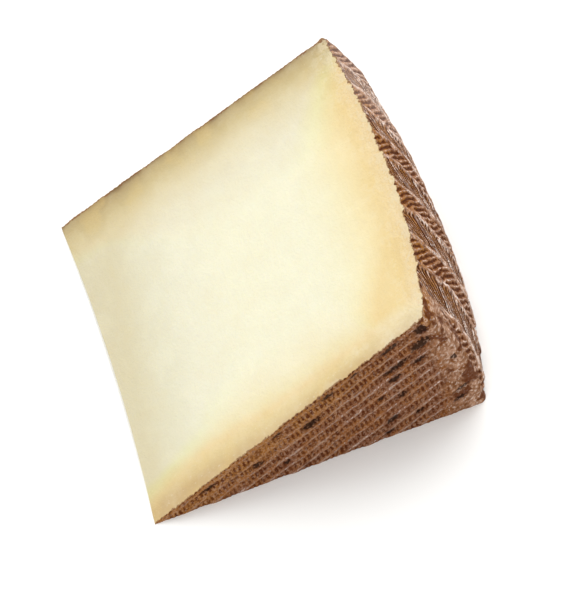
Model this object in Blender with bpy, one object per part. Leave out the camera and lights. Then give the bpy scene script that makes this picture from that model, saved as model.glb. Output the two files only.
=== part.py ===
"""A wedge of hard pressed cheese, cut from a barrel-sided wheel and lying on one of its two cut faces.

The wheel's half section is drawn as one outline: the blunt, slightly hollow tip, the front and back
faces of the wheel, the rounded rims, and the bulging wall with the shallow bands that a plaited belt
pressed into it. Turning that outline about the wheel's axis, through the wedge's angle, makes the solid.

Frame: metres, +Z up. The lower cut face rests on z = 0. The wheel's axis runs along Y and the tip points
to -X, so the wall faces +X and the wheel's front face faces -Y. The origin is the middle of the box's base.
"""

import math

import bmesh
import bpy
from mathutils import Matrix, Vector

# The wheel that the wedge was cut from. Its front face is slightly domed, so it is tallest at the axis.
RIM_RADIUS = 0.0900
RIM_SPLAY = 0.0006
RIM_HEIGHT = 0.0945
FRONT_DOME = 0.0056
WALL_BULGE = 0.0050
BULGE_POWER = 2.2
BULGE_LEAN = 0.0027
FRONT_RIM_ROUND = 0.0022
BACK_RIM_ROUND = 0.0016

# The bands that the plaited belt pressed into the wall, counted from the back rim.
BAND_WIDTH = 0.0088
FIRST_RIDGE = -0.0005
BAND_PRESS = 0.0005

# The wedge.
WEDGE_ANGLE = math.radians(28.3)
TIP_BLUNT = 0.0007
TIP_HOLLOW = 0.0018

# How finely the outline and the turn are divided.
FACE_STEPS = 18
RIM_STEPS = 5
STEPS_PER_BAND = 6
TIP_STEPS = 14
TURN_STEPS = 12

BACK = RIM_HEIGHT / 2
FRONT = -RIM_HEIGHT / 2


def wall_radius(height):
    """Radius of the wall at a height from the middle of the rims, without the rim rounding."""
    share = 2 * height / RIM_HEIGHT
    bulge = WALL_BULGE * (1 - abs(share) ** BULGE_POWER)
    lean = BULGE_LEAN * share * (1 - share * share)
    return RIM_RADIUS + RIM_SPLAY * share + bulge - lean - band_press(height)


def band_press(height):
    """How deep the belt pressed the wall in: nothing on the ridges between its bands."""
    from_back = BACK - height - FIRST_RIDGE
    across = abs(math.sin(math.pi * from_back / BAND_WIDTH))
    return BAND_PRESS * across**0.7


def front_height(radius):
    """Height of the domed front face at a radius."""
    return FRONT - FRONT_DOME * (1 - radius / RIM_RADIUS)


def back_height(radius):
    """Height of the flat back face, the same at every radius."""
    return BACK


def face_points(face_height, rim_round):
    """Points along a face of the wheel, from the tip to its rim rounding."""
    reach = RIM_RADIUS - rim_round - TIP_BLUNT
    radii = [TIP_BLUNT + reach * step / FACE_STEPS for step in range(FACE_STEPS)]
    return [Vector((radius, face_height(radius))) for radius in radii]


def rim_points(side, rim_round):
    """Points of a rim's quarter round, from the face to the wall. Side is -1 in front, 1 at the back."""
    centre_height = RIM_HEIGHT / 2 - rim_round
    centre_radius = wall_radius(side * centre_height) - rim_round
    points = []
    for step in range(RIM_STEPS + 1):
        turn = math.pi / 2 * step / RIM_STEPS
        radius = centre_radius + rim_round * math.sin(turn)
        points.append(Vector((radius, side * (centre_height + rim_round * math.cos(turn)))))
    return points


def wall_points():
    """Points up the wall, between the two rim roundings."""
    bottom = FRONT + FRONT_RIM_ROUND
    top = BACK - BACK_RIM_ROUND
    count = round((top - bottom) / BAND_WIDTH * STEPS_PER_BAND)
    heights = [bottom + (top - bottom) * step / count for step in range(1, count)]
    return [Vector((wall_radius(height), height)) for height in heights]


def tip_points():
    """Points down the tip edge, from the back face to the front face, hollow between its ends."""
    top = back_height(TIP_BLUNT)
    bottom = front_height(TIP_BLUNT)
    points = []
    for step in range(1, TIP_STEPS):
        share = step / TIP_STEPS
        radius = TIP_BLUNT + TIP_HOLLOW * 4 * share * (1 - share)
        points.append(Vector((radius, top + (bottom - top) * share)))
    return points


def section_outline():
    """The closed outline of the wheel's half section, as (radius, height) points."""
    front = face_points(front_height, FRONT_RIM_ROUND) + rim_points(-1, FRONT_RIM_ROUND)
    back = face_points(back_height, BACK_RIM_ROUND) + rim_points(1, BACK_RIM_ROUND)
    return front + wall_points() + back[::-1] + tip_points()


def turned_mesh(outline):
    """The outline turned about the wheel's axis, which lies along Y, from the lower cut to the upper."""
    shape = bmesh.new()
    corners = [shape.verts.new((point.x, point.y, 0)) for point in outline]
    base = shape.faces.new(corners)
    bmesh.ops.spin(
        shape,
        geom=[base, *base.verts, *base.edges],
        cent=(0, 0, 0),
        axis=(0, -1, 0),
        angle=WEDGE_ANGLE,
        steps=TURN_STEPS,
        use_duplicate=False,
    )
    bmesh.ops.recalc_face_normals(shape, faces=shape.faces)
    mesh = bpy.data.meshes.new("cheese_wedge")
    shape.to_mesh(mesh)
    shape.free()
    return mesh


def centre_on_base(mesh):
    """Moves the mesh so that the middle of its box's base is the origin."""
    lows = [min(vertex.co[axis] for vertex in mesh.vertices) for axis in range(3)]
    highs = [max(vertex.co[axis] for vertex in mesh.vertices) for axis in range(3)]
    middle = Vector(((lows[0] + highs[0]) / 2, (lows[1] + highs[1]) / 2, lows[2]))
    mesh.transform(Matrix.Translation(-middle))


def cheese_material(name, colour, roughness):
    """A plain Principled material."""
    material = bpy.data.materials.new(name)
    material.use_nodes = True
    shader = material.node_tree.nodes["Principled BSDF"]
    shader.inputs["Base Color"].default_value = (*colour, 1)
    shader.inputs["Roughness"].default_value = roughness
    shader.inputs["Metallic"].default_value = 0
    return material


def colour_faces(mesh):
    """Pale paste on the two cut faces and the tip, brown rind on what was the wheel's outside."""
    mesh.materials.append(cheese_material("paste", (0.88, 0.79, 0.52), 0.45))
    mesh.materials.append(cheese_material("rind", (0.30, 0.16, 0.075), 0.6))
    nearly_flat = math.cos(math.radians(1))
    upper_cut = Vector((-math.sin(WEDGE_ANGLE), 0, math.cos(WEDGE_ANGLE)))
    for face in mesh.polygons:
        cut = face.normal.z < -nearly_flat or face.normal.dot(upper_cut) > nearly_flat
        tip = face.normal.x < -math.cos(WEDGE_ANGLE)
        face.material_index = 0 if cut or tip else 1


def build_wedge():
    """Makes the wedge object."""
    mesh = turned_mesh(section_outline())
    centre_on_base(mesh)
    colour_faces(mesh)
    mesh.shade_smooth()
    mesh.set_sharp_from_angle(angle=math.radians(35))
    wedge = bpy.data.objects.new("cheese_wedge", mesh)
    bpy.context.scene.collection.objects.link(wedge)


def main():
    for old in list(bpy.data.objects):
        bpy.data.objects.remove(old, do_unlink=True)
    build_wedge()


main()
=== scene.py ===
import math

import bpy
import numpy as np
from mathutils import Matrix, Vector
from mathutils.geometry import delaunay_2d_cdt


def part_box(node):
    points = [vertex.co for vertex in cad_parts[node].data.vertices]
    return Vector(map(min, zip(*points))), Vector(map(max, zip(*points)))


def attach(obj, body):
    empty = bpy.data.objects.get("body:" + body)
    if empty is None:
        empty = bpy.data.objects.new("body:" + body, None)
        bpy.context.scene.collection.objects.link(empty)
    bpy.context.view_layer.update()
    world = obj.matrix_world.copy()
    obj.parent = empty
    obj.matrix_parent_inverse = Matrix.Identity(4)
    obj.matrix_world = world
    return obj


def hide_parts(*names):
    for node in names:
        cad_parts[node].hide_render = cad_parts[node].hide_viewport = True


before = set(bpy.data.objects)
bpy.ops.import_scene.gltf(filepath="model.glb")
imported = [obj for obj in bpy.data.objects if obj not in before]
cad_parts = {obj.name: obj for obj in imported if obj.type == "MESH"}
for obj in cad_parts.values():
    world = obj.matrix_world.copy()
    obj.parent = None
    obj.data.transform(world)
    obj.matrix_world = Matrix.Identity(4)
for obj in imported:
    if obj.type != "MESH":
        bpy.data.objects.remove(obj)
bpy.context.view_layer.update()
cadNode = "cheese_wedge"
low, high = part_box(cadNode)
mm = 0.001


def linearColour(hexColour):
    # sRGB hex to the linear colour that shaders use
    parts = [int(hexColour[i:i + 2], 16) / 255 for i in (1, 3, 5)]
    return tuple(c / 12.92 if c <= 0.04045 else ((c + 0.055) / 1.055) ** 2.4 for c in parts) + (1,)


def addNode(tree, kind, settings=None, links=None):
    # adds one node, sets its settings, and fills or links its sockets
    node = tree.nodes.new(kind)
    for name, value in (settings or {}).items():
        setattr(node, name, value)
    for socket, value in (links or {}).items():
        value = getattr(value, "socket", value)
        if isinstance(value, bpy.types.NodeSocket):
            tree.links.new(value, node.inputs[socket])
        else:
            node.inputs[socket].default_value = value
    return node


class Field:
    # a socket that can be used in a formula, in a geometry tree and in a material alike
    def __init__(self, tree, socket):
        self.tree = tree
        self.socket = socket

    def do(self, operation, *others):
        links = dict(enumerate((self, *others)))
        node = addNode(self.tree, "ShaderNodeMath", {"operation": operation}, links)
        return Field(self.tree, node.outputs[0])

    def __add__(self, other):
        return self.do("ADD", other)

    def __sub__(self, other):
        return self.do("SUBTRACT", other)

    def __mul__(self, other):
        return self.do("MULTIPLY", other)

    def __truediv__(self, other):
        return self.do("DIVIDE", other)

    def step(self, start, end, first=0.0, last=1.0):
        # eases from first to last between start and end
        node = addNode(self.tree, "ShaderNodeMapRange", {"interpolation_type": "SMOOTHSTEP"},
                       {"Value": self, "From Min": start, "From Max": end, "To Min": first, "To Max": last})
        return Field(self.tree, node.outputs[0])

    def hump(self, sharpness=1.0):
        # one rise and fall for each whole number: 0 at whole numbers, 1 halfway
        return (self * math.pi).do("SINE").do("ABSOLUTE").do("POWER", sharpness)


def newPiece(name, mesh):
    piece = bpy.data.objects.new(name, mesh)
    bpy.context.scene.collection.objects.link(piece)
    return piece


def makeReal(piece, tree, values):
    # runs a Geometry Nodes tree on the piece and keeps the result as a plain mesh
    modifier = piece.modifiers.new("shape", "NODES")
    modifier.node_group = tree
    sockets = {s.name: s.identifier for s in tree.interface.items_tree if s.in_out == "INPUT"}
    for name, value in values.items():
        modifier[sockets[name]] = value
    shaped = bpy.data.meshes.new_from_object(piece.evaluated_get(bpy.context.evaluated_depsgraph_get()))
    piece.modifiers.remove(modifier)
    piece.data = shaped


wheel = {  # the wheel that the wedge is cut from, in millimetres
    "angle": 28.3,  # of the wedge, in degrees
    "rimRadius": 90.0,
    "rimSplay": 0.45,  # added to the back rim's radius and taken off the front rim's
    "dome": 5.6,  # how much taller the wheel is at its axis, all in front
    "bulge": 5.0,
    "bulgePower": 2.2,  # a higher one makes the wall flatter halfway up
    "bulgeLean": 1.6,  # moves the bulge towards the front
    "frontRound": 2.2,
    "backRound": 1.6,
    "tipStart": 0.7,  # how far from the axis the CAD's tip lies
    "tipBlunt": 0.35,
    "tipHollow": 2.1,
}
spacing = {  # of the mesh's points, in millimetres
    "front": 0.34,
    "back": 0.52,
    "wall": 0.33,
    "tip": 2.2,
    "cut": 2.1,
    "cutMargin": 1.5,  # kept free between a cut's outline and its inner points
    "turns": 108,  # steps from one cut to the other
}
fading = {  # where the pressed marks fade out, in millimetres
    "front": (0.8, 2.0),  # start and width of the fade, from the front rim
    "back": (0.4, 1.5),  # the same from the back rim
    "face": (89.0, -2.5),  # the same from the axis
    "cut": 1.4,  # how far from a cut they're weaker
    "leftOnWall": 0.7,  # the share that is left right at a cut
    "leftOnFace": 0.5,
    "chipped": 1.6,  # how far from the upper cut the rind is chipped
    "cutWaves": 3.0,  # how far from it the skin follows the cut's own waves
    "smear": 6.5,  # how wide the belt's marks are rubbed out at the front corner of the cut
    "smearReach": (3, 24),  # where that starts to narrow, and where it ends
}
mouldSpots = [  # dark patches: along and across the front face, half length, half width
    (17, 1.8, 2.6, 0.8), (30, 6.2, 1.8, 1.0), (48, 6.2, 3.2, 1.3), (57, 1.6, 2.2, 0.8), (74, 9, 5.0, 1.1),
    (71, 12.4, 2.2, 1.2), (61, 25, 2.4, 1.1), (57.5, 28.5, 1.6, 1.0), (67, 29, 1.6, 0.8),
    (68.5, 19.3, 1.8, 1.0), (79, 31.5, 2.6, 0.8), (76.5, 34.5, 2.0, 0.9), (85.5, 19.5, 1.4, 1.0),
    (77, 1.6, 4.0, 0.9), (86.5, 3.0, 2.2, 1.7), (90, 0.8, 1.4, 1.0), (35, 13, 1.2, 0.8),
    (83, 7.5, 3.4, 1.6), (64, 15.5, 1.3, 0.7), (66, 1.4, 1.6, 0.6), (79, 12, 2.4, 0.9),
    (91, 12, 1.2, 1.2), (40, 1.5, 1.8, 0.6),
]
angle = math.radians(wheel["angle"])
rimHeight = (high.y - low.y) / mm - wheel["dome"] * (1 - wheel["tipStart"] / wheel["rimRadius"])
backY = high.y / mm
frontY = backY - rimHeight
middleY = (backY + frontY) / 2
axisX = low.x / mm - wheel["tipStart"] * math.cos(angle)  # where the wheel's axis lies, seen along Y


def wallRadius(y):
    share = 2 * (y - middleY) / rimHeight
    bulge = wheel["bulge"] * (1 - np.abs(share) ** wheel["bulgePower"])
    lean = wheel["bulgeLean"] * share * (1 - share ** 2)
    return wheel["rimRadius"] + wheel["rimSplay"] * share + bulge - lean


def faceLine(side):
    # radius and y along a face, from the tip to the start of its rim: side is -1 in front, 1 at the back
    step = spacing["front"] if side < 0 else spacing["back"]
    rim = wheel["frontRound"] if side < 0 else wheel["backRound"]
    reach = wheel["rimRadius"] - rim
    radius = np.arange(wheel["tipBlunt"], reach, step)
    y = frontY - wheel["dome"] * (1 - radius / wheel["rimRadius"]) if side < 0 else 0 * radius + backY
    return np.stack([radius, y], 1)


def rimLine(side):
    # a quarter circle from the face to the wall
    rim = wheel["frontRound"] if side < 0 else wheel["backRound"]
    steps = round(rim * math.pi / 2 / spacing["wall"])
    turn = np.linspace(0, math.pi / 2, steps + 1)[:-1]
    centreY = frontY + rim if side < 0 else backY - rim
    centreRadius = wallRadius(centreY) - rim
    return np.stack([centreRadius + rim * np.sin(turn), centreY + side * rim * np.cos(turn)], 1)


def sectionLine():
    # the closed outline and each point's part: 0 front face, 1 rim and wall, 2 back face, 3 tip
    bottom, top = frontY + wheel["frontRound"], backY - wheel["backRound"]
    wallY = np.linspace(bottom, top, round((top - bottom) / spacing["wall"]) + 1)
    wall = np.stack([wallRadius(wallY), wallY], 1)
    front, back = faceLine(-1), faceLine(1)
    tipBack, tipFront = back[0][1], front[0][1]
    share = np.linspace(0, 1, round((tipBack - tipFront) / spacing["tip"]) + 1)[1:-1]
    tip = np.stack([wheel["tipBlunt"] + wheel["tipHollow"] * 4 * share * (1 - share),
                    tipBack + (tipFront - tipBack) * share], 1)
    runs = [front, rimLine(-1), wall, rimLine(1)[::-1], back[::-1], tip]
    parts = np.concatenate([np.full(len(run), part) for run, part in zip(runs, (0, 1, 1, 1, 2, 3))])
    return np.concatenate(runs), parts


def lineGap(points, line):
    # how far each point is from the nearest point of a line
    return np.sqrt(((points[:, None] - line[None]) ** 2).sum(-1)).min(1)


def cutTriangles(line):
    # fills the outline with triangles: fine at the border, wider inside
    widest = wheel["rimRadius"] + wheel["bulge"] + 1
    grid = np.stack(np.meshgrid(np.arange(1, widest, spacing["cut"]),
                                np.arange(frontY - wheel["dome"], backY, spacing["cut"])), -1).reshape(-1, 2)
    grid[::2] += 0.37  # keeps the grid's points off one another's circles
    ahead = np.roll(line, -1, 0)
    x, y = grid[:, :1], grid[:, 1:]
    crosses = (line[:, 1] > y) != (ahead[:, 1] > y)
    span = np.where(crosses, ahead[:, 1] - line[:, 1], 1)
    hits = crosses & (x < line[:, 0] + (y - line[:, 1]) / span * (ahead[:, 0] - line[:, 0]))
    inner = grid[(hits.sum(1) % 2 == 1) & (lineGap(grid, line) > spacing["cutMargin"])]
    points = [Vector(p) for p in np.concatenate([line, inner])]
    edges = [(i, (i + 1) % len(line)) for i in range(len(line))]
    _, _, faces, sources, _, _ = delaunay_2d_cdt(points, edges, [], 1, 1e-6)
    order = [source[0] for source in sources]
    return inner, np.array([[order[i] for i in face] for face in faces])


def turned(flat, phi, centre=0.0):
    # points of the section, turned about the wheel's axis to each angle
    cos, sin = np.cos(phi)[:, None], np.sin(phi)[:, None]
    return np.stack([centre + flat[:, 0] * cos, flat[:, 1] + 0 * cos, flat[:, 0] * sin], -1).reshape(-1, 3)


def storeValues(mesh, name, values, kind="FLOAT", domain="POINT"):
    # one number or vector for each point, edge or face
    numbers = {"FLOAT": np.float32, "FLOAT_VECTOR": np.float32, "INT": np.int32, "BOOLEAN": bool}[kind]
    data = mesh.attributes.new(name, kind, domain).data
    data.foreach_set("vector" if kind == "FLOAT_VECTOR" else "value", values.astype(numbers).ravel())


def markPoints(mesh, points, line, parts, inner, phi):
    # each point's own place on the wheel and its share of the reliefs, for the reliefs and the materials
    rows = len(phi)
    part = np.concatenate([np.tile(parts, rows), np.full(2 * len(inner), 3)])
    radius = np.concatenate([np.tile(line[:, 0], rows), inner[:, 0], inner[:, 0]])
    turnedBy = np.concatenate([np.repeat(phi, len(line)), np.zeros(len(inner)), np.full(len(inner), angle)])
    fromBack = backY - points[:, 1]
    fromFront = rimHeight - fromBack
    along = (angle - turnedBy) * radius
    cutGap = np.minimum(along, turnedBy * radius)
    storeValues(mesh, "place", np.stack([radius, fromBack, along], 1), "FLOAT_VECTOR")
    mat = np.stack([radius * np.cos(angle - turnedBy), radius * np.sin(angle - turnedBy), fromBack], 1)
    storeValues(mesh, "mat", mat, "FLOAT_VECTOR")

    # which way the skin points, and the upper cut's own direction, fading out over the skin beside it
    tangent = np.roll(line, -1, 0) - np.roll(line, 1, 0)
    outward = np.stack([tangent[:, 1], -tangent[:, 0]], 1)
    outward /= np.linalg.norm(outward, axis=1, keepdims=True)
    away = np.concatenate([turned(outward, phi), np.zeros((2 * len(inner), 3))]) * (part < 3)[:, None]
    storeValues(mesh, "away", away, "FLOAT_VECTOR")
    beside = np.clip(1 - along / fading["cutWaves"], 0, 1) * (turnedBy > 0)
    cutWay = np.array([-math.sin(angle), 0, math.cos(angle)])
    storeValues(mesh, "push", beside[:, None] * cutWay, "FLOAT_VECTOR")

    # how far from the rind a point of a cut is
    rindLine = line[parts < 3]
    innerGap = lineGap(inner, rindLine)
    storeValues(mesh, "border", np.concatenate([np.tile(lineGap(line, rindLine), rows), innerGap, innerGap]))

    # how much of each relief reaches the point
    def fade(gap, name):
        start, width = fading[name]
        return np.clip((gap - start) / width, 0, 1)

    smeared = np.interp(along, fading["smearReach"], (fading["smear"], 0.0))
    wallShare = (part == 1) * fade(fromFront - smeared, "front") * fade(fromBack, "back")
    faceShare = np.isin(part, (0, 2)) * fade(radius, "face")
    chipped = np.array([0.5, 1, 0, 0])[part] * np.clip(1 - along / fading["chipped"], 0, 1)
    storeValues(mesh, "wallShare", wallShare * np.clip(cutGap / fading["cut"], fading["leftOnWall"], 1))
    storeValues(mesh, "faceShare", faceShare * np.clip(cutGap / fading["cut"], fading["leftOnFace"], 1))
    storeValues(mesh, "chipped", chipped)
    mould = np.zeros(len(points))
    for x, y, long, wide in mouldSpots:
        mould = np.maximum(mould, np.exp(-(((mat[:, 0] - x) / long) ** 2 + ((mat[:, 1] - y) / wide) ** 2)))
    storeValues(mesh, "mould", mould)


def baseMesh():
    # the plain wedge: the section in many turns, and both ends filled
    line, parts = sectionLine()
    count, turns = len(line), spacing["turns"]
    phi = np.linspace(0, angle, turns + 1)
    inner, triangles = cutTriangles(line)
    ends = [turned(inner, phi[[i]], axisX) for i in (0, -1)]
    points = np.concatenate([turned(line, phi, axisX), *ends])
    ids = np.arange(count * (turns + 1)).reshape(turns + 1, count)
    innerIds = np.arange(2 * len(inner)).reshape(2, -1) + ids.size
    here, there = ids[:-1], ids[1:]
    skin = np.stack([here, np.roll(here, -1, 1), np.roll(there, -1, 1), there], -1).reshape(-1, 4)[:, ::-1]
    lower, upper = [np.concatenate([ids[i], innerIds[i]])[triangles] for i in (0, -1)]
    mesh = bpy.data.meshes.new("cheeseWedge")
    mesh.from_pydata((points * mm).tolist(), [], skin.tolist() + lower[:, ::-1].tolist() + upper.tolist())
    mesh.validate()
    markPoints(mesh, points, line, parts, inner, phi)

    # face kinds: 0 paste, 1 wall, 2 flat face
    kindOf = np.array([2, 1, 2, 0])[parts]
    kinds = np.concatenate([np.tile(kindOf, turns), np.zeros(len(lower) + len(upper))])
    storeValues(mesh, "kind", kinds, "INT", "FACE")

    # the cuts stay crisp against the rind
    ring = np.full(len(points), -1)
    ring[ids[0]], ring[ids[-1]] = 0, 1
    edges = np.empty(len(mesh.edges) * 2, np.int32)
    mesh.edges.foreach_get("vertices", edges)
    first, second = ring[edges.reshape(-1, 2)].T
    storeValues(mesh, "sharp_edge", (first == second) & (first >= 0), "BOOLEAN", "EDGE")
    mesh.shade_smooth()
    triangleCount = sum(len(face.vertices) - 2 for face in mesh.polygons)
    print("base mesh:", len(mesh.vertices), "points,", triangleCount, "triangles")
    return mesh


# the patterns pressed into the rind: one formula serves the relief and the colours
plaitSizes = {  # the plaited belt round the wall, in millimetres
    "Band width": 8.8,
    "First ridge": -0.5,
    "Rung spacing along": 3.05,
    "Rung spacing across": 2.03,
    "Strand width": 12.5,
    "Strand lean": 10.5,
    "Strand fibres": 6.0,
    "Strand pinch": 0.5,
    "Wander": 2.0,
}
matSizes = {  # the woven mat under the flat face
    "Row spacing": 3.3,
    "First row": 1.15,
    "Pit spacing": 1.42,
    "Pit lean": 0.35,
    "Row wander": 1.8,
}
relief = {  # depths in millimetres
    "Band hollow": 0.25,
    "Rung depth": 0.5,
    "Strand depth": 0.4,
    "Pit depth": 0.5,
    "Roughness": 0.5,
    "Lumps": 0.9,
    "Proud": 0.38,  # how far the rind's ridges stand over the plain form
    "Cut waves": 0.35,
    "Chips": 1.8,  # how raggedly the rind breaks at the cuts
}


def readAttribute(tree, name, kind="FLOAT_VECTOR"):
    # the piece's own attribute, in a geometry tree or in a material
    if tree.bl_idname == "GeometryNodeTree":
        node = addNode(tree, "GeometryNodeInputNamedAttribute", {"data_type": kind}, {"Name": name})
        return node.outputs["Attribute"]
    return addNode(tree, "ShaderNodeAttribute", {"attribute_name": name}).outputs["Vector"]


def readPlace(tree, name):
    vector = readAttribute(tree, name)
    parts = addNode(tree, "ShaderNodeSeparateXYZ", None, {0: vector}).outputs
    return vector, [Field(tree, part) for part in parts]


def unevenness(tree, vector, kinds):
    # named random fields from -0.5 to 0.5: each has its size in millimetres, its detail and its seed
    fields = {}
    for name, (size, detail, seed) in kinds.items():
        links = {"Vector": vector, "Scale": 1 / size, "Detail": detail, "W": seed}
        node = addNode(tree, "ShaderNodeTexNoise", {"noise_dimensions": "4D"}, links)
        fields[name] = Field(tree, node.outputs[0]) - 0.5
    return fields


def plaitPress(tree, size):
    vector, (_, fromBack, along) = readPlace(tree, "place")
    uneven = unevenness(tree, vector, {"slow": (9, 1, 3), "quick": (3, 2, 4), "broken": (1.6, 2, 5)})
    across = fromBack - size["First ridge"] + uneven["slow"] * size["Wander"] + uneven["quick"] * 0.8
    across = across / size["Band width"]
    band = across.do("FLOOR")
    ladder = (band * 0.5).do("FRACT").step(0.3, 0.2)  # every other band
    strand = ladder * -1.0 + 1.0
    share = across.do("FRACT")
    middle = share.hump(1.0)
    inBand = (middle + uneven["broken"] * 0.4).step(0.1, 0.45)

    # ladder bands: short slanting rungs
    rung = along / size["Rung spacing along"] + fromBack / size["Rung spacing across"]
    rung = (rung + uneven["slow"] * 1.4 + uneven["quick"] * 0.7).hump(1.0)
    rungs = (rung + uneven["broken"] * 1.2).step(0.55, 1.0)
    rungs = rungs * (middle + uneven["broken"] * 1.1).step(0.25, 0.6)

    # strand bands: leaning leaf shapes with fine fibres that draw together
    leaf = (along - share * size["Strand lean"]) / size["Strand width"] + band * 0.37 + uneven["slow"] * 0.3
    side = leaf.do("FRACT") - 0.5
    spread = side / (share * size["Strand pinch"] * -1.0 + 1.0)
    inLeaf = spread.do("ABSOLUTE").step(0.5, 0.38) * inBand
    fibre = (spread * size["Strand fibres"] + uneven["quick"] * 1.1).hump(1.0)
    lines = (fibre + uneven["broken"] * 0.9).step(0.55, 1.0) * inBand

    # the worn ridges between rungs, between fibres and along each band
    between = (rung + uneven["broken"] * 0.8).step(0.45, 0.1) * ladder
    between = between + (fibre + uneven["broken"] * 1.0).step(0.42, 0.08) * strand * 0.9
    edges = inBand * -1.0 + 1.0
    leafEdges = (inBand - inLeaf) * strand
    return {"ladder": ladder, "rungs": rungs * ladder, "lines": lines * strand, "leaf": inLeaf * strand,
            "inBand": inBand, "edges": (edges + leafEdges).do("MINIMUM", 1.0), "between": between}


def matPress(tree, size):
    # rows of slanting pits
    vector, (x, y, _) = readPlace(tree, "mat")
    uneven = unevenness(tree, vector, {"slow": (16, 1, 8), "quick": (3, 2, 9), "broken": (1.8, 2, 10),
                                       "patch": (7, 2, 11)})
    row = y - size["First row"] + uneven["slow"] * size["Row wander"] + uneven["quick"] * 0.9
    row = row / size["Row spacing"]
    middle = row.hump(1.0)
    inRow = (middle + uneven["broken"] * 0.6).step(0.08, 0.4)
    pit = (x + y * size["Pit lean"] + uneven["quick"] * 1.0) / size["Pit spacing"] + row.do("FLOOR") * 0.43
    hollow = pit.hump(1.0) * middle.step(0.2, 0.9)
    pits = (hollow + uneven["broken"] * 1.0).step(0.35, 0.9)
    strength = uneven["patch"].step(-0.2, 0.1, 0.5, 1.0)
    return {"inRow": inRow, "pits": pits * strength}


def pressTree(finishes):
    sizes = {**relief, **plaitSizes, **matSizes}
    tree = bpy.data.node_groups.new("pressed rind", "GeometryNodeTree")
    tree.interface.new_socket("Geometry", in_out="INPUT", socket_type="NodeSocketGeometry")
    tree.interface.new_socket("Geometry", in_out="OUTPUT", socket_type="NodeSocketGeometry")
    for name in sizes:
        tree.interface.new_socket(name, in_out="INPUT", socket_type="NodeSocketFloat")
    entry = addNode(tree, "NodeGroupInput")
    size = {name: Field(tree, entry.outputs[name]) for name in sizes}
    shareNames = ("wallShare", "faceShare", "chipped")
    share = {name: Field(tree, readAttribute(tree, name, "FLOAT")) for name in shareNames}

    # how far down each point goes, in millimetres
    place, (radius, fromBack, _) = readPlace(tree, "place")
    uneven = unevenness(tree, place, {"rough": (2.0, 3, 5), "lumps": (7, 1, 6), "waves": (24, 1, 2),
                                      "chips": (1.7, 2, 7)})
    plait, mat = plaitPress(tree, size), matPress(tree, size)
    pressed = plait["inBand"] * size["Band hollow"] + plait["rungs"] * size["Rung depth"]
    pressed = pressed + (plait["leaf"] * 0.6 + plait["lines"] * 0.4) * size["Strand depth"]
    woven = (mat["pits"] * 0.65 + mat["inRow"] * 0.35) * size["Pit depth"] * share["faceShare"]
    coarse = uneven["rough"] * size["Roughness"] + uneven["lumps"] * size["Lumps"]
    coarse = coarse + uneven["chips"] * size["Chips"] * share["chipped"]
    coarse = coarse + (share["wallShare"] - 1.0) * size["Proud"] * fromBack.step(60, 10, 0.25, 1.0)
    down = (pressed * share["wallShare"] + woven + coarse * radius.step(1, 5)) * -mm

    away = addNode(tree, "ShaderNodeVectorMath", {"operation": "SCALE"},
                   {0: readAttribute(tree, "away"), "Scale": down})
    push = addNode(tree, "ShaderNodeVectorMath", {"operation": "SCALE"},
                   {0: readAttribute(tree, "push"), "Scale": uneven["waves"] * size["Cut waves"] * mm})
    offset = addNode(tree, "ShaderNodeVectorMath", {"operation": "ADD"},
                     {0: away.outputs[0], 1: push.outputs[0]})
    shape = addNode(tree, "GeometryNodeSetPosition", None,
                    {"Geometry": entry.outputs["Geometry"], "Offset": offset.outputs[0]}).outputs[0]
    shape = addNode(tree, "GeometryNodeRealizeInstances", None, {0: shape}).outputs[0]
    for kind, material in finishes.items():
        links = {"Geometry": shape, "Material": material}
        if kind is not None:
            same = addNode(tree, "FunctionNodeCompare", {"data_type": "INT", "operation": "EQUAL"},
                           {2: readAttribute(tree, "kind", "INT"), 3: kind})
            links["Selection"] = same.outputs[0]
        shape = addNode(tree, "GeometryNodeSetMaterial", None, links).outputs[0]
    addNode(tree, "NodeGroupOutput", None, {"Geometry": shape})
    return tree, sizes


def startMaterial(name, settings):
    material = bpy.data.materials.new(name)
    material.use_nodes = True
    shader = material.node_tree.nodes["Principled BSDF"]
    for socket, value in settings.items():
        shader.inputs[socket].default_value = value
    return material, material.node_tree, shader


def paintLayers(tree, colour, layers):
    # lays each colour over the ones before it, as far as its mask says
    for mask, layer in layers:
        links = {0: mask, 6: colour, 7: linearColour(layer)}
        colour = addNode(tree, "ShaderNodeMix", {"data_type": "RGBA"}, links).outputs[2]
    return colour


def rampColours(tree, place, stops):
    # colours at given places, eased between them
    reach = stops[-1][0]
    ramp = addNode(tree, "ShaderNodeValToRGB", None, {0: place / reach})
    elements = ramp.color_ramp.elements
    while len(elements) < len(stops):
        elements.new(0.5)
    for element, (distance, colour) in zip(elements, stops):
        element.position = distance / reach
        element.color = linearColour(colour)
    return ramp.outputs[0]


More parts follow.
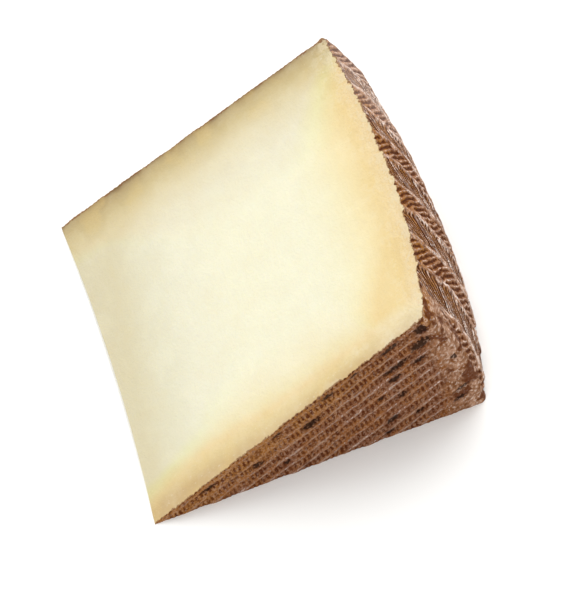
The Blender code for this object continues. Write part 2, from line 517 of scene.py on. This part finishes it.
paste = {  # colours of the cut cheese, and how its drier belts, darkened partly with painted shade, lie along the sides of a cut
    "plain": "#fdf9db",  # the middle of the cut, as the stops below take it
    "yellowed": "#d9bd7a",
    "shaded": "#b59a66",
    "pale": "#e6dfc8",
    "crumbled": "#e0d3b4",
    "edge": "#7d522b",  # the line of rind seen at the cut
    "strength": 0.787,  # how much light the palest paste gives back
    "roughness": 0.42,
    "grain": 0.25,  # strength of the fine crumbly relief
    "drift": 3.5,  # how far the belts wander, in millimetres
    "tipSlant": 0.11,  # how much the tip's belt narrows towards the front
    "cornerWiden": 10.0,  # how much wider the wall's belt is in its corner with the front
    "cornerLeast": 6.5,  # there it gets no yellower than it is this far from the wall
    "frontWiden": 3.5,  # how much wider the front's belt is near the tip
    # colours by how many millimetres a place is from each side of the cut
    "tip": [(0, "#e2d8b6"), (10, "#e5dbb7"), (20, "#efeacd"), (30, "#f8f4d9"), (44, "#fdf9db")],
    "back": [(0, "#7d6038"), (0.5, "#a0855a"), (1.2, "#bba373"), (3, "#cdb886"), (5, "#d8c593"),
             (8, "#e4d4a8"), (12, "#ede1bc"), (20, "#f5eed1"), (32, "#fdf9db")],
    "wall": [(0, "#e9cb96"), (2, "#f3d69d"), (6, "#f7dda1"), (11, "#fceab6"), (15, "#fdf1c4"),
             (20, "#fdf6d1"), (28, "#fdf9db")],
    "front": [(0, "#d6b884"), (2.3, "#e4cb95"), (4.5, "#eed7a0"), (6.5, "#f5dda8"), (9.5, "#f8ebbe"),
              (14, "#fcf3cf"), (24, "#fdf9db")],
}


def pasteMaterial():
    # pressed ewe's milk paste, cut with a wire: smooth, a little waxy, yellower and drier near the rind, and
    # darker towards each side with painted shade
    material, tree, shader = startMaterial("pressed cheese paste", {
        "Roughness": paste["roughness"], "IOR": 1.45, "Subsurface Weight": 0.12, "Subsurface Scale": 2 * mm,
        "Subsurface Radius": (1, 0.8, 0.4)})
    place, (radius, fromBack, _) = readPlace(tree, "place")
    uneven = unevenness(tree, place, {"drift": (14, 2, 1), "speck": (0.8, 1, 4), "mottle": (2.4, 3, 6),
                                      "cloud": (9, 2, 7), "grain": (0.7, 3, 3)})
    border = Field(tree, readAttribute(tree, "border"))
    centred = (fromBack - rimHeight / 2) / (rimHeight / 2)
    wallGap = centred * centred * -wheel["bulge"] + (wheel["rimRadius"] + wheel["bulge"]) - radius
    frontGap = radius * (-wheel["dome"] / wheel["rimRadius"]) + (rimHeight + wheel["dome"]) - fromBack
    # the drier, yellower belt, with its painted shade, is wider where two sides meet
    inCorner = wallGap.step(40, 5) * frontGap.step(30, 5) * paste["cornerWiden"]
    gaps = {"tip": radius + (fromBack - 35) * paste["tipSlant"],
            "back": fromBack * radius.step(12, 35, 0.7, 1.0),
            "wall": (wallGap - inCorner).do("MAXIMUM", wallGap.do("MINIMUM", paste["cornerLeast"])),
            "front": frontGap - radius.step(45, 5) * paste["frontWiden"]}
    colour = linearColour(paste["plain"])
    # each side's belt: the paste's drier colour and painted shade, darker towards that side
    for edge, gap in gaps.items():
        tones = rampColours(tree, gap + uneven["drift"] * paste["drift"], paste[edge])
        links = {0: 1.0, 6: colour, 7: tones}
        darker = addNode(tree, "ShaderNodeMix", {"data_type": "RGBA", "blend_type": "DARKEN"}, links)
        colour = darker.outputs[2]
    links = {0: 1.0, 6: colour, 7: [paste["strength"]] * 3 + [1]}
    colour = addNode(tree, "ShaderNodeMix", {"data_type": "RGBA", "blend_type": "MULTIPLY"}, links).outputs[2]

    nearRind = border.step(13, 2)
    nearWall = wallGap.do("MINIMUM", frontGap).step(13, 2)
    paleMottle = uneven["mottle"].step(-0.02, -0.12) * (nearWall * 0.12 + 0.04)
    crumbs = wallGap.step(4.5, 1.5) * (uneven["mottle"] + uneven["grain"] * 0.5).step(-0.06, 0.06)
    edgeLine = (border + uneven["mottle"] * 1.5 + uneven["grain"] * 1.5).step(0.4, 0.15)
    colour = paintLayers(tree, colour, [
        (uneven["cloud"].step(0.0, 0.14) * (nearRind * 0.2 + 0.04), paste["yellowed"]),
        (uneven["cloud"].step(0.0, -0.14) * 0.06, paste["plain"]),
        (wallGap.step(20, 12) * frontGap.step(9, 6) * 0.25, paste["pale"]),
        (uneven["mottle"].step(-0.02, 0.12) * (nearRind * 0.06 + 0.025), paste["shaded"]),
        (paleMottle * radius.step(40, 70, 0.4, 1.0), paste["pale"]),
        (uneven["speck"].step(0.14, 0.2) * (nearWall * 0.2 + 0.05), paste["pale"]),
        (uneven["speck"].step(-0.13, -0.18) * nearRind * 0.15, paste["shaded"]),
        (crumbs * 0.45, paste["crumbled"]),
        (edgeLine * 0.85, paste["edge"]),
    ])
    tree.links.new(colour, shader.inputs["Base Color"])
    grainy = (uneven["grain"] + uneven["mottle"] * 1.5) * wallGap.step(8, 2, 1.0, 2.6)
    links = {"Height": grainy, "Strength": paste["grain"], "Distance": 0.4 * mm}
    bump = addNode(tree, "ShaderNodeBump", None, links)
    tree.links.new(bump.outputs[0], shader.inputs["Normal"])
    return material


rind = {  # colours of the rind: those that start with face are the flat faces' own
    "groove": "#5a2d13",  # the floors of the rungs, darkened partly with painted shade, and cracks
    "fibre": "#47210a",  # the fine lines in the strands
    "hollow": "#804d23",
    "skin": "#986843",  # the ground colour
    "grey": "#99745c",  # dustier, and with painted sheen, away from the cut
    "crest": "#c1997f",  # worn ridges
    "bloomAndSheen": "#efdcd0",  # dry bloom on the ridges, with their painted sheen
    "goldenAndGlow": "#a06a2c",  # golden rind beside the cut, partly painted light shining through from the paste
    "faceSkin": "#8c582f",
    "faceGrey": "#845a45",
    "faceGroove": "#57290f",
    "faceCrest": "#ad8d77",
    "smooth": "#946c50",  # where the wrapping slid
    "mould": "#150b06",
}
rindBump = {"Strength": 0.8, "Distance": 0.4 * mm}  # cracks and scratches too fine for the mesh
hatchStretch = 0.22  # of the fine scratches, which run round the wheel
rindFinish = {"IOR": 1.45, "Specular IOR Level": 0.06}  # dry, with hardly any gloss
rindGrain = {  # name: size in millimetres, detail, seed
    "patch": (6, 3, 11),
    "fine": (0.7, 2, 12),
    "blotch": (2.2, 3, 14),
    "grit": (0.45, 1, 15),
}


def smearLayers(mask, along, uneven):
    # where the wrapping slid on the young cheese: no marks, tan with darker blotches, alike on wall and face
    return [
        (mask * 0.95, rind["smooth"]),
        # golden beside the cut: rind colour and painted light shining through from the paste
        (mask * (along + uneven["blotch"] * 6.0).step(5.5, 2.5) * 0.75, rind["goldenAndGlow"]),
        (mask * uneven["blotch"].step(-0.01, 0.12) * 0.75, rind["hollow"]),
        (mask * uneven["blotch"].step(0.0, -0.12) * 0.6, rind["crest"]),
        (mask * uneven["fine"].step(0.02, 0.12) * 0.5, rind["groove"]),
        # pale flecks of dry bloom and painted sheen
        (mask * uneven["fine"].step(-0.05, -0.13) * 0.4, rind["bloomAndSheen"]),
        (mask * (uneven["patch"] + uneven["blotch"] * 0.5).step(0.03, 0.09) * 0.8, rind["faceGroove"]),
    ]


def wallMaterial():
    # natural rind pressed by a plaited grass belt: brown hollows, worn pinkish ridges with a dry bloom and a
    # painted sheen
    material, tree, shader = startMaterial("plait-pressed rind", rindFinish)
    place, (_, fromBack, along) = readPlace(tree, "place")
    plait = plaitPress(tree, plaitSizes)
    uneven = unevenness(tree, place, rindGrain)
    stretched = addNode(tree, "ShaderNodeVectorMath", {"operation": "MULTIPLY"},
                        {0: place, 1: (1, 1, hatchStretch)})
    hatch = unevenness(tree, stretched.outputs[0], {"hatch": (0.75, 2, 13)})["hatch"]
    ridges = (plait["edges"] * 1.2 + plait["between"] * 0.8).do("MINIMUM", 1.0)
    # how pale the ridges get: wear and painted sheen, growing away from the cut
    wearAndSheen = (along.step(2, 16, 0.5, 1.0) + plait["leaf"] * 0.35).do("MINIMUM", 1.0)
    nearCut = (along + uneven["patch"] * 16.0).step(9, 2)
    # golden beside the cut and in the strands: rind colour and painted light shining through from the paste
    goldenAndGlow = (nearCut + plait["leaf"] * along.step(36, 14)).do("MINIMUM", 1.0)
    # painted light: the wall is made paler near the back rim, as if more light fell there
    paintedLightNearBack = fromBack.step(36, 10)
    smeared = along.step(0, 26, fading["smear"], 0.0)
    nearFront = (fromBack * -1.0 + rimHeight - smeared + uneven["blotch"] * 8.0).step(3.0, 1.4)
    colour = paintLayers(tree, linearColour(rind["skin"]), [
        (uneven["blotch"].step(-0.06, 0.08) * 0.7, rind["hollow"]),
        # greyer away from the cut: dust and painted sheen
        (along.step(10, 30) * 0.5, rind["grey"]),
        # painted light: paler crest colour over the wall near the back rim
        (paintedLightNearBack * 0.4, rind["crest"]),
        (goldenAndGlow * uneven["blotch"].step(-0.12, 0.0) * 0.85, rind["goldenAndGlow"]),
        (ridges * (hatch + uneven["fine"] * 0.5).step(-0.16, 0.02) * wearAndSheen, rind["crest"]),
        # dry bloom and painted sheen on the ridge crests, a little more near the back rim as painted light
        (ridges * (hatch + uneven["fine"] + paintedLightNearBack * 0.04).step(0.0, 0.1) * wearAndSheen, rind["bloomAndSheen"]),
        (plait["lines"].step(0.0, 0.5) * (hatch + 0.5).step(0.3, 0.5, 0.8, 1.0), rind["fibre"]),
        # the rung floors: darker rind and painted shade in the hollows
        (plait["rungs"].step(0.15, 0.6) * (uneven["fine"] + 0.5).step(0.35, 0.5, 0.6, 1.0), rind["groove"]),
        ((uneven["fine"] + uneven["blotch"]).step(0.04, 0.14) * 0.7, rind["groove"]),
        (uneven["grit"].step(0.05, 0.14) * 0.4, rind["groove"]),
        # painted light: more bloom colour near the back rim
        (paintedLightNearBack * 0.17, rind["bloomAndSheen"]),
        *smearLayers(nearFront, along, uneven),
    ])
    tree.links.new(colour, shader.inputs["Base Color"])
    tree.links.new(ridges.step(0, 1, 0.75, 0.5).socket, shader.inputs["Roughness"])
    height = plait["lines"] * -0.6 - uneven["fine"] * 1.2 + hatch * 1.2
    bump = addNode(tree, "ShaderNodeBump", None, {"Height": height, **rindBump})
    tree.links.new(bump.outputs[0], shader.inputs["Normal"])
    return material


def faceMaterial():
    # natural rind pressed by a woven mat: rows of rust brown pits between thin worn ridges, with dark mould
    material, tree, shader = startMaterial("mat-pressed rind", rindFinish)
    place, (radius, _, along) = readPlace(tree, "place")
    _, (x, y, _) = readPlace(tree, "mat")
    mat = matPress(tree, matSizes)
    uneven = unevenness(tree, place, rindGrain)
    mould = Field(tree, readAttribute(tree, "mould"))
    marked = (radius + y * 0.12 + uneven["blotch"] * 20.0).step(88, 83)
    smeared = marked * -1.0 + 1.0
    pits = mat["pits"] * marked
    crest = mat["inRow"] * marked * -1.0 + marked
    # golden beside the cut: rind colour and painted light shining through from the paste
    nearCut = y.step(11, 3) * (uneven["patch"] + 0.5).step(0.3, 0.5) * radius.step(84, 50)
    colour = paintLayers(tree, linearColour(rind["faceSkin"]), [
        (uneven["patch"].step(-0.08, 0.08) * 0.8, rind["faceGrey"]),
        (uneven["blotch"].step(-0.02, 0.12) * 0.5, rind["smooth"]),
        (crest * (uneven["fine"] + uneven["blotch"] * 1.4).step(-0.12, 0.1, 0.1, 1.0), rind["faceCrest"]),
        # dry bloom and painted sheen on the face's ridges
        (crest * (uneven["fine"] + uneven["patch"] * 0.5).step(0.04, 0.12) * 0.7, rind["bloomAndSheen"]),
        # the pits: darker rind and painted shade in the hollows
        (pits.step(0.0, 0.4) * 0.55, rind["hollow"]),
        (nearCut * 0.7, rind["goldenAndGlow"]),
        (pits.step(0.25, 0.75) * (uneven["blotch"] + 0.5).step(0.4, 0.55, 0.65, 1.0), rind["faceGroove"]),
        (uneven["grit"].step(0.05, 0.14) * 0.35, rind["faceGroove"]),
        (uneven["grit"].step(-0.06, -0.14) * 0.35, rind["faceCrest"]),
        ((uneven["fine"] + uneven["blotch"] * 0.5).step(0.02, 0.12) * 0.6, rind["faceGroove"]),
        (uneven["fine"].step(-0.06, -0.13) * 0.4, rind["faceCrest"]),
        *smearLayers(smeared, along, uneven),
        ((mould + uneven["blotch"]).step(0.04, 0.4) * 0.45, rind["faceGroove"]),
        ((mould * (uneven["fine"] * 3.0 + 1.0)).step(0.3, 0.7) * 0.8, rind["mould"]),
    ])
    tree.links.new(colour, shader.inputs["Base Color"])
    tree.links.new(pits.step(0, 1, 0.55, 0.8).socket, shader.inputs["Roughness"])
    height = pits * -0.4 - uneven["fine"] * 1.2
    bump = addNode(tree, "ShaderNodeBump", None, {"Height": height, **rindBump})
    tree.links.new(bump.outputs[0], shader.inputs["Normal"])
    return material


wedge = newPiece("cheeseWedge", baseMesh())
finishes = {None: pasteMaterial(), 1: wallMaterial(), 2: faceMaterial()}  # paste on all, rind by face kind
print("materials:", [material.name for material in finishes.values()])
makeReal(wedge, *pressTree(finishes))
print("wedge:", len(wedge.data.polygons), "faces,", [m.name for m in wedge.data.materials])
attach(wedge, "root")
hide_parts(cadNode)

studio = {  # in metres and degrees
    "azimuth": -3.7,  # of the camera
    "elevation": 53.25,
    "roll": -14.45,
    "distance": 1.3227,
    "lens": 305.9,
    "aim": (-0.0003, -0.0111, 0.020),
    "lamps": {  # watts, size, place
        "key": (21, 1.5, (0.45, 0.7, 1.15)),
        "fill": (7, 1.2, (-0.6, -1.0, 0.9)),
    },
    "sky": 0.6,
    "floor": 4,  # half its side
    "card": "#f7f7f5",
}


def addCamera():
    az, el = math.radians(studio["azimuth"]), math.radians(studio["elevation"])
    back = Vector((math.sin(az) * math.cos(el), -math.cos(az) * math.cos(el), math.sin(el)))
    camera = bpy.data.objects.new("camera", bpy.data.cameras.new("camera"))
    camera.data.lens, camera.data.sensor_width = studio["lens"], 36
    turn = back.to_track_quat("Z", "Y").to_matrix() @ Matrix.Rotation(math.radians(studio["roll"]), 3, "Z")
    camera.matrix_world = Matrix.LocRotScale(Vector(studio["aim"]) + back * studio["distance"], turn, None)
    bpy.context.scene.collection.objects.link(camera)
    bpy.context.scene.camera = camera


def addLamps():
    for name, (energy, size, place) in studio["lamps"].items():
        lamp = bpy.data.objects.new(name, bpy.data.lights.new(name, "AREA"))
        lamp.data.energy, lamp.data.size = energy, size
        lamp.matrix_world = Matrix.LocRotScale(Vector(place), Vector(place).to_track_quat("Z", "Y"), None)
        bpy.context.scene.collection.objects.link(lamp)
    world = bpy.data.worlds.new("studio")
    world.use_nodes = True
    world.node_tree.nodes["Background"].inputs["Color"].default_value = (1, 1, 1, 1)
    world.node_tree.nodes["Background"].inputs["Strength"].default_value = studio["sky"]
    bpy.context.scene.world = world
    bpy.context.scene.view_settings.view_transform = "Standard"


def addFloor():
    half = studio["floor"]
    mesh = bpy.data.meshes.new("floor")
    corners = [(-half, -half, 0), (half, -half, 0), (half, half, 0), (-half, half, 0)]
    mesh.from_pydata(corners, [], [(0, 1, 2, 3)])
    # a pale, even ground that takes a soft shadow
    finish = {"Base Color": linearColour(studio["card"]), "Roughness": 0.9}
    mesh.materials.append(startMaterial("matt white card", finish)[0])
    newPiece("floor", mesh)


addCamera()
addLamps()
addFloor()
print("studio:", len(studio["lamps"]), "lamps, camera and floor")
